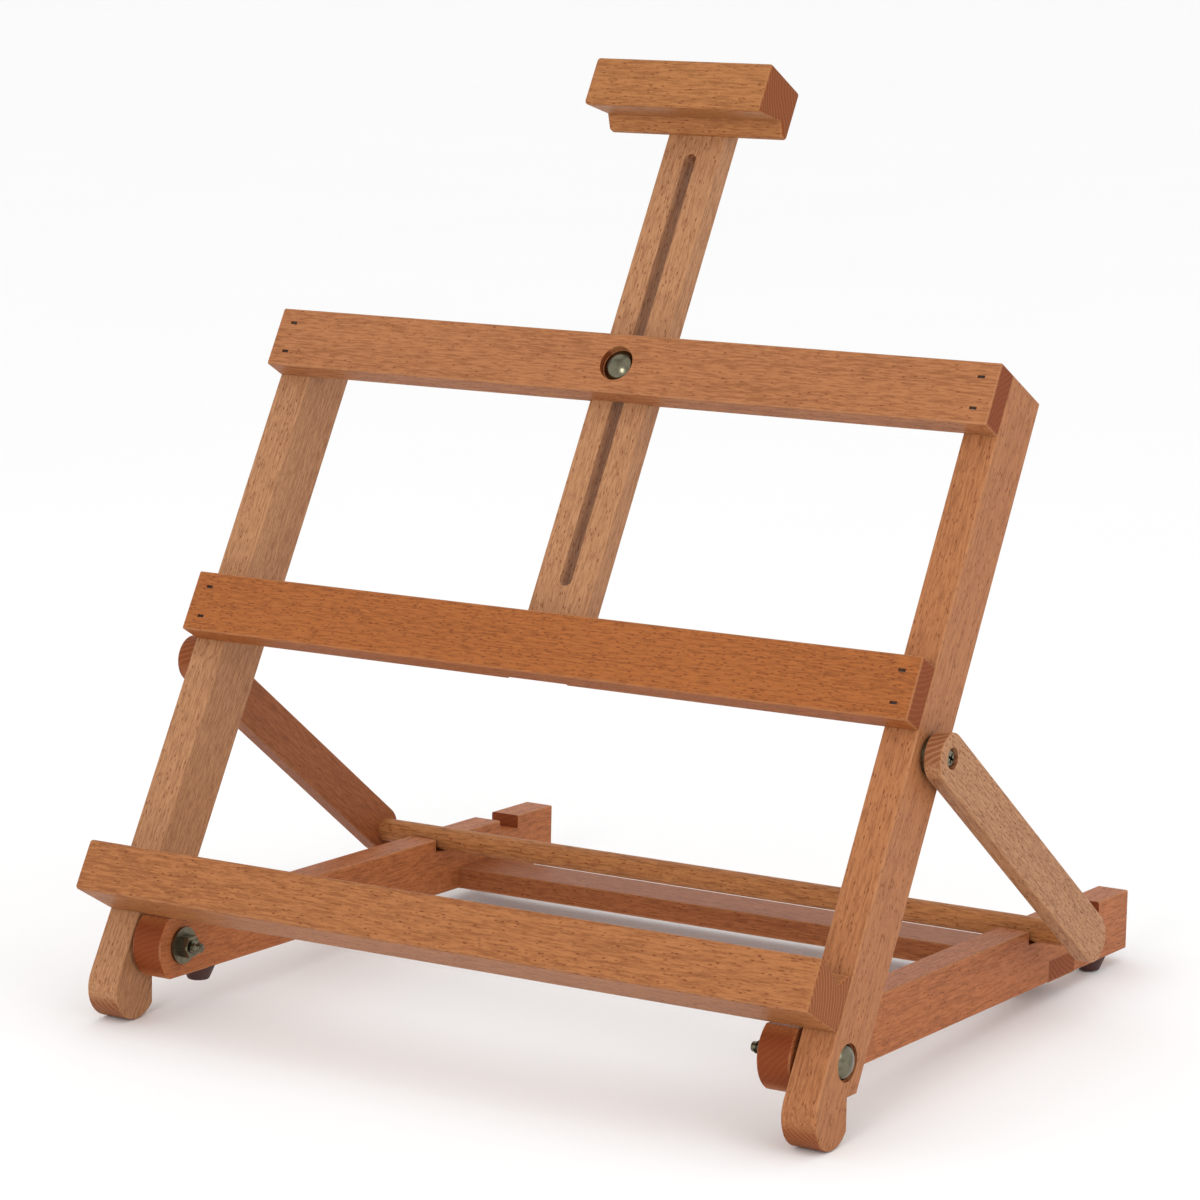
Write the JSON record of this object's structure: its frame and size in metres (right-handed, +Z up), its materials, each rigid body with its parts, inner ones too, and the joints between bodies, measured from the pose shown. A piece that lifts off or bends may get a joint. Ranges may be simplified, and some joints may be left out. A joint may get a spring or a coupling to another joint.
{
  "type": "table easel",
  "caption": "Wooden table easel: a leaning frame hinged on a notched base, held by a folding prop, with a grooved ledge and a sliding mast whose clamp holds the top of a canvas.",
  "frame": {"origin": "on the ground, below the middle of the easel's bounding box", "axes": "+X to the easel's right as seen from the front, +Y to the rear, +Z up"},
  "size_m": [0.4232, 0.3668, 0.4533],
  "materials": {
    "beech_tan": "satin",
    "beech_red": "satin",
    "beech_orange": "satin",
    "beech_pale": "satin",
    "zinc_steel": "satin",
    "dark_steel": "satin",
    "rubber": "matte"
  },
  "bodies": {
    "base": {"base_rail_left": "beech_red", "base_rail_right": "beech_red", "base_crossbar": "beech_red", "crossbar_screws": "dark_steel", "foot_front_left": "rubber", "foot_front_right": "rubber", "foot_rear_left": "rubber", "foot_rear_right": "rubber", "foot_screws": "dark_steel"},
    "frame": {"stile_left": "beech_pale", "stile_right": "beech_tan", "top_rail": "beech_tan", "middle_rail": "beech_red", "ledge": "beech_orange", "top_rail_brads": "dark_steel", "middle_rail_brads": "dark_steel", "ledge_screws": "dark_steel", "mast_bolt": "zinc_steel", "mast_washer": "zinc_steel", "pivot_bolt_left": "zinc_steel", "pivot_spacer_left": "zinc_steel", "pivot_washer_left": "zinc_steel", "pivot_nut_left": "zinc_steel", "strut_screw_left": "zinc_steel", "strut_spacer_left": "zinc_steel", "pivot_bolt_right": "zinc_steel", "pivot_spacer_right": "zinc_steel", "pivot_washer_right": "zinc_steel", "pivot_nut_right": "zinc_steel", "strut_screw_right": "zinc_steel", "strut_spacer_right": "zinc_steel"},
    "mast": {"mast": "beech_pale", "mast_clamp": "beech_orange", "clamp_screws": "dark_steel"},
    "wing_nut": {"wing_nut": "zinc_steel"},
    "prop": {"strut_left": "beech_tan", "strut_right": "beech_pale", "prop_dowel": "beech_orange"}
  },
  "joints": [
    {"name": "frame_tilt", "type": "hinge", "parent": "base", "child": "frame", "pos_m": [0, -0.14768, 0.03654], "axis": [1, 0, 0], "range_deg": [0, 60]},
    {"name": "prop_swing", "type": "hinge", "parent": "frame", "child": "prop", "pos_m": [0, -0.07356, 0.15918], "axis": [1, 0, 0], "range_deg": [0, 96.82]},
    {"name": "mast_slide", "type": "slide", "parent": "frame", "child": "mast", "axis": [0, 0.5173, 0.8558], "range_m": [-0.1107, 0.1065]},
    {"name": "wing_nut_turn", "type": "hinge", "parent": "frame", "child": "wing_nut", "pos_m": [0, 0.0056, 0.30232], "axis": [0, 0.8558, -0.5173], "continuous": true}
  ]
}
